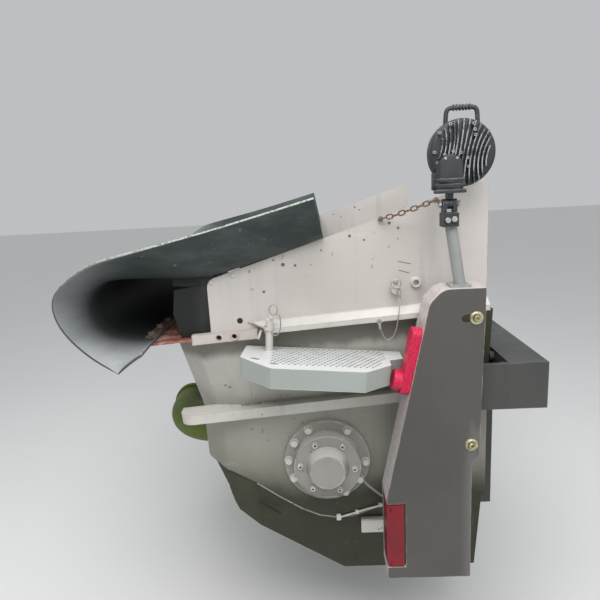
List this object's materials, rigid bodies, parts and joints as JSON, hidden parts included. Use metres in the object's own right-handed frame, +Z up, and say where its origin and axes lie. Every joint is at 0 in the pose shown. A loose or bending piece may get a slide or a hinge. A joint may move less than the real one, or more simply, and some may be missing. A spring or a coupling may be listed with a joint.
{
  "type": "rear concrete hopper of a truck-mounted concrete pump",
  "caption": "Rear receiving hopper of a concrete pump truck with agitator, swinging valve tube, hinged screen, rolled rubber apron, side steps, tail lamps and work lamp.",
  "frame": {"origin": "centre of the four chassis bolt holes on the front face of the cross beam", "axes": "+X points to the front of the truck, +Y to its left, +Z up"},
  "size_m": [1.529, 1.88, 1.7323],
  "materials": {
    "tub_paint": "warm grey enamel, rubbed and dusty",
    "frame_paint": "dark grey enamel, satin",
    "plate_paint": "brown-grey enamel, satin",
    "outlet_paint": "lime green enamel, dirty",
    "worn_steel": "worn bare steel with rust",
    "bright_steel": "galvanised",
    "step_metal": "pale blue-grey, satin",
    "apron_rubber": "matt black-green, dusty",
    "red_lens": "gloss moulded red",
    "lamp_black": "black die casting, satin"
  },
  "bodies": {
    "hopper": {"apron": "apron_rubber", "apron_strip": "worn_steel", "band_left": "tub_paint", "band_right": "tub_paint", "bearing_left_motor": "tub_paint", "bearing_right": "tub_paint", "cross_beam": "frame_paint", "door_hinge": "tub_paint", "doubler_left": "tub_paint", "doubler_right": "tub_paint", "elbow_pin": "bright_steel", "end_plate_left": "frame_paint", "end_plate_right": "frame_paint", "frame_leg_left": "frame_paint", "frame_leg_right": "frame_paint", "front_wall": "tub_paint", "lamp_clamp": "lamp_black", "lamp_plate_left": "plate_paint", "lamp_plate_right": "plate_paint", "lamp_post": "bright_steel", "outlet_sleeve": "outlet_paint", "port_plate": "worn_steel", "rail_left": "tub_paint", "rail_right": "tub_paint", "rear_lamp_left": "red_lens", "rear_lamp_right": "red_lens", "rear_lip": "worn_steel", "rear_wall": "tub_paint", "screen_hinge_left": "tub_paint", "screen_hinge_right": "tub_paint", "screen_ledge": "tub_paint", "screen_rear": "tub_paint", "side_wall_left": "tub_paint", "side_wall_right": "tub_paint", "splash_plate_left": "tub_paint", "splash_plate_right": "tub_paint", "step_left": "step_metal", "step_right": "step_metal", "stop_lamp_left": "red_lens", "stop_lamp_right": "red_lens", "swing_bush": "frame_paint", "trough": "tub_paint", "wing_left": "apron_rubber", "wing_right": "apron_rubber"},
    "agitator": {"agitator": "worn_steel"},
    "valve": {"valve_tube": "worn_steel", "swing_lever": "frame_paint"},
    "front_screen": {"screen_front": "tub_paint"},
    "clean_out": {"clean_out_door": "tub_paint"},
    "elbow": {"delivery_elbow": "outlet_paint"},
    "lamp": {"work_lamp": "lamp_black"}
  },
  "joints": [
    {"name": "agitator_spin", "type": "hinge", "parent": "hopper", "child": "agitator", "pos_m": [-0.695, 0, -0.311], "axis": [0, 1, 0], "continuous": true},
    {"name": "valve_swing", "type": "hinge", "parent": "hopper", "child": "valve", "pos_m": [-0.135, 0, -0.476], "axis": [1, 0, 0], "range_deg": [0, 73.74]},
    {"name": "screen_lift", "type": "hinge", "parent": "hopper", "child": "front_screen", "pos_m": [-0.173, 0, 0.18376], "axis": [0, 1, 0], "range_deg": [0, 75]},
    {"name": "clean_out_hinge", "type": "hinge", "parent": "hopper", "child": "clean_out", "pos_m": [-0.459, 0, -0.866], "axis": [0, 1, 0], "range_deg": [0, 95]},
    {"name": "elbow_swing", "type": "hinge", "parent": "hopper", "child": "elbow", "pos_m": [-1.187, -0.202, -0.476], "axis": [0, 0, 1], "range_deg": [0, 90]},
    {"name": "lamp_tilt", "type": "hinge", "parent": "hopper", "child": "lamp", "pos_m": [-0.311, -0.86, 0.569], "axis": [1, 0, 0], "range_deg": [-40, 50]}
  ]
}
